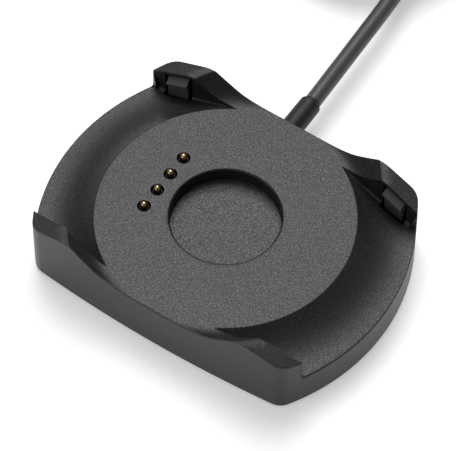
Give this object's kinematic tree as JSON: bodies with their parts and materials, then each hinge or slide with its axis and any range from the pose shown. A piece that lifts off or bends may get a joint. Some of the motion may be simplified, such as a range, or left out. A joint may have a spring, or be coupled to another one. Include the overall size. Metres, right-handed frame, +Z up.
{
  "type": "watch charging dock",
  "caption": "Low charging dock for a round sports watch: flat round seat with sprung contact pins, strap troughs, corner posts with snap latches, and a thin lead to a USB plug.",
  "frame": {"origin": "on the desk under the middle of the dock, at the bottom of its rubber feet", "axes": "+X along the watch's strap, away from the contact pins; +Y to the back, where the lead comes out; +Z up"},
  "size_m": [0.0754, 0.1416, 0.015],
  "materials": {
    "satin_shell": "satin",
    "grained_deck": "fine spark-eroded grain",
    "inner_moulding": "matt",
    "latch_moulding": "satin",
    "board_green": "solder mask",
    "chip_epoxy": "matt",
    "ceramic": "matt",
    "wire_red": "satin",
    "wire_white": "satin",
    "wire_green": "satin",
    "wire_black": "satin",
    "boot_rubber": "matt",
    "lead_jacket": "satin",
    "tie_strap": "matt",
    "plug_moulding": "matt",
    "nickel_plate": "nickel plated",
    "plug_insulator": "matt",
    "contact_gold": "gold plated",
    "barrel_brass": "darkened",
    "spring_steel": "drawn wire",
    "screw_steel": "zinc plated",
    "foot_rubber": "matt"
  },
  "bodies": {
    "dock": {"outer_shell": "satin_shell", "top_deck": "grained_deck", "bottom_cover": "inner_moulding", "pin_block": "inner_moulding", "pin_barrel_1": "barrel_brass", "pin_barrel_2": "barrel_brass", "pin_barrel_3": "barrel_brass", "pin_barrel_4": "barrel_brass", "pin_spring_1": "spring_steel", "pin_spring_2": "spring_steel", "pin_spring_3": "spring_steel", "pin_spring_4": "spring_steel", "circuit_board": "board_green", "charge_chip": "chip_epoxy", "capacitor_1": "ceramic", "capacitor_2": "ceramic", "wire_red": "wire_red", "wire_white": "wire_white", "wire_green": "wire_green", "wire_black": "wire_black", "screw_front_left": "screw_steel", "screw_back_left": "screw_steel", "screw_front_right": "screw_steel", "screw_back_right": "screw_steel", "foot_front_left": "foot_rubber", "foot_back_left": "foot_rubber", "foot_front_right": "foot_rubber", "foot_back_right": "foot_rubber", "strain_relief": "boot_rubber", "lead_near": "lead_jacket", "lead_coil": "lead_jacket", "lead_far": "lead_jacket", "coil_tie": "tie_strap", "plug_boot": "boot_rubber", "plug_overmould": "plug_moulding", "plug_shell": "nickel_plate", "plug_tongue": "plug_insulator", "plug_contact_1": "contact_gold", "plug_contact_2": "contact_gold", "plug_contact_3": "contact_gold", "plug_contact_4": "contact_gold"},
    "pin_1": {"pin_plunger_1": "contact_gold"},
    "pin_2": {"pin_plunger_2": "contact_gold"},
    "pin_3": {"pin_plunger_3": "contact_gold"},
    "pin_4": {"pin_plunger_4": "contact_gold"},
    "latch_fl": {"latch_front_left": "latch_moulding"},
    "latch_bl": {"latch_back_left": "latch_moulding"},
    "latch_fr": {"latch_front_right": "latch_moulding"},
    "latch_br": {"latch_back_right": "latch_moulding"}
  },
  "joints": [
    {"name": "pin_1_press", "type": "slide", "parent": "dock", "child": "pin_1", "axis": [0, 0, -1], "range_m": [0, 0.001], "stiffness_N_per_m": 400, "springref_m": -0.0008, "deforming": ["pin_spring_1"]},
    {"name": "pin_2_press", "type": "slide", "parent": "dock", "child": "pin_2", "axis": [0, 0, -1], "range_m": [0, 0.001], "stiffness_N_per_m": 400, "springref_m": -0.0008, "deforming": ["pin_spring_2"]},
    {"name": "pin_3_press", "type": "slide", "parent": "dock", "child": "pin_3", "axis": [0, 0, -1], "range_m": [0, 0.001], "stiffness_N_per_m": 400, "springref_m": -0.0008, "deforming": ["pin_spring_3"]},
    {"name": "pin_4_press", "type": "slide", "parent": "dock", "child": "pin_4", "axis": [0, 0, -1], "range_m": [0, 0.001], "stiffness_N_per_m": 400, "springref_m": -0.0008, "deforming": ["pin_spring_4"]},
    {"name": "latch_fl_flex", "type": "hinge", "parent": "dock", "child": "latch_fl", "pos_m": [-0.02192, -0.01837, 0.0036], "axis": [0.9915, -0.1304, 0], "range_deg": [0, 5.5], "stiffness_Nm_per_rad": 0.08},
    {"name": "latch_bl_flex", "type": "hinge", "parent": "dock", "child": "latch_bl", "pos_m": [-0.02192, 0.01837, 0.0036], "axis": [-0.9915, -0.1304, 0], "range_deg": [0, 5.5], "stiffness_Nm_per_rad": 0.08},
    {"name": "latch_fr_flex", "type": "hinge", "parent": "dock", "child": "latch_fr", "pos_m": [0.02192, -0.01837, 0.0036], "axis": [0.9915, 0.1304, 0], "range_deg": [0, 5.5], "stiffness_Nm_per_rad": 0.08},
    {"name": "latch_br_flex", "type": "hinge", "parent": "dock", "child": "latch_br", "pos_m": [0.02192, 0.01837, 0.0036], "axis": [-0.9915, 0.1304, 0], "range_deg": [0, 5.5], "stiffness_Nm_per_rad": 0.08}
  ]
}
